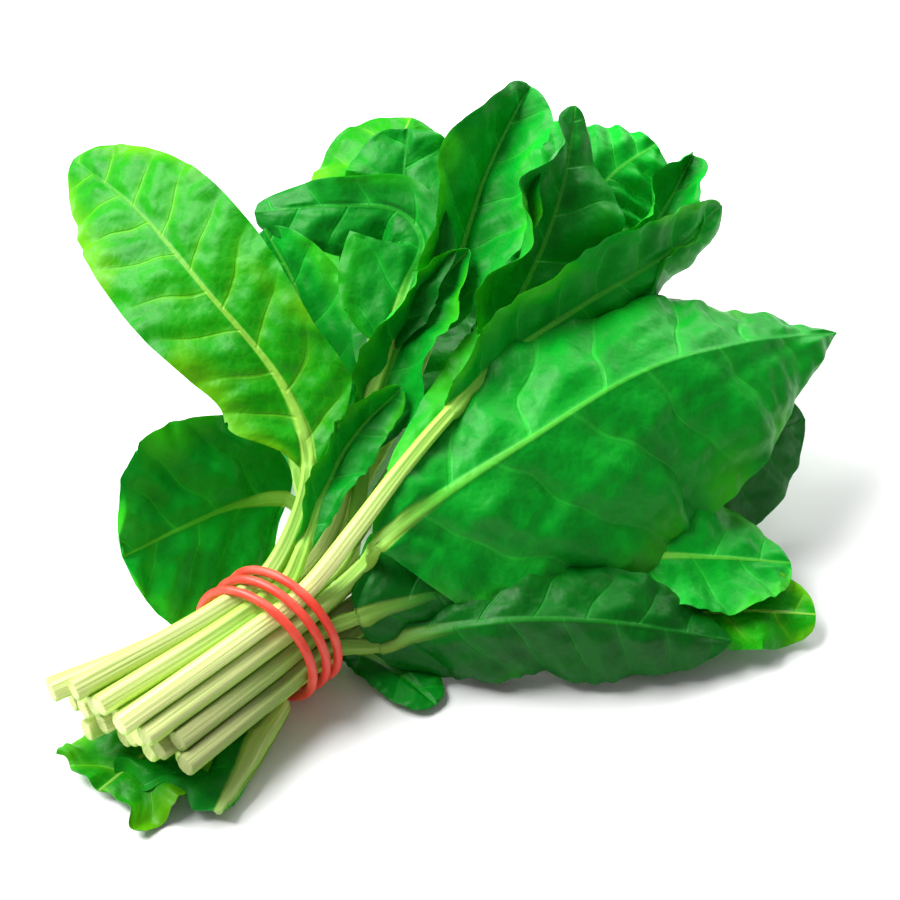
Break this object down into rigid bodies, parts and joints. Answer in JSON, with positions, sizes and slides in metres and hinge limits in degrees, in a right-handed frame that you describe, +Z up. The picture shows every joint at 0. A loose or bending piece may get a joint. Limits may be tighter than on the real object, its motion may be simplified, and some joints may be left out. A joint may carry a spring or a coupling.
{
  "type": "spinach bunch",
  "caption": "Loose bunch of fresh spinach lying on its side, long pale stems cut square and held together by a looped rubber band, broad green leaves fanning out",
  "frame": {"origin": "middle of the underside of the bunch, where it lies on the table", "axes": "+X runs along the bunch from the cut stem ends to the leaf tips, +Y is to its left and +Z is up from the table"},
  "size_m": [0.2496, 0.2346, 0.1136],
  "materials": {
    "leaf_light": "young yellow-green leaf, satin, with pale veins and a cream stem",
    "leaf_mid": "bright green leaf, satin with a waxy sheen, pale rib and stem",
    "leaf_deep": "dark green leaf, waxy sheen, pale rib and stem",
    "rubber_band": "coral red rubber with a soft sheen"
  },
  "bodies": {
    "root": {"leaf_large_front": "leaf_mid", "leaf_light_left": "leaf_light", "leaf_centre_flopped": "leaf_deep", "leaf_rolled_long": "leaf_mid", "leaf_ruffled_tall": "leaf_mid", "leaf_ruffled_inner": "leaf_mid", "leaf_round_left": "leaf_mid", "leaf_savoy_right": "leaf_mid", "leaf_curled_tip": "leaf_mid", "leaf_back_cupped": "leaf_deep", "leaf_back_dome": "leaf_light", "leaf_low_front": "leaf_deep", "leaf_kinked_front": "leaf_deep", "leaf_grey_front": "leaf_mid", "leaf_under_large": "leaf_deep", "leaf_narrow_middle": "leaf_mid", "leaf_curled_middle": "leaf_mid", "leaf_behind_light": "leaf_mid", "leaf_crumpled_tip": "leaf_light", "leaf_small_under": "leaf_deep", "leaf_back_low": "leaf_mid", "leaf_back_long": "leaf_deep", "leaf_cut_left": "leaf_light", "leaf_cut_right": "leaf_deep", "rubber_band": "rubber_band"}
  },
  "joints": []
}
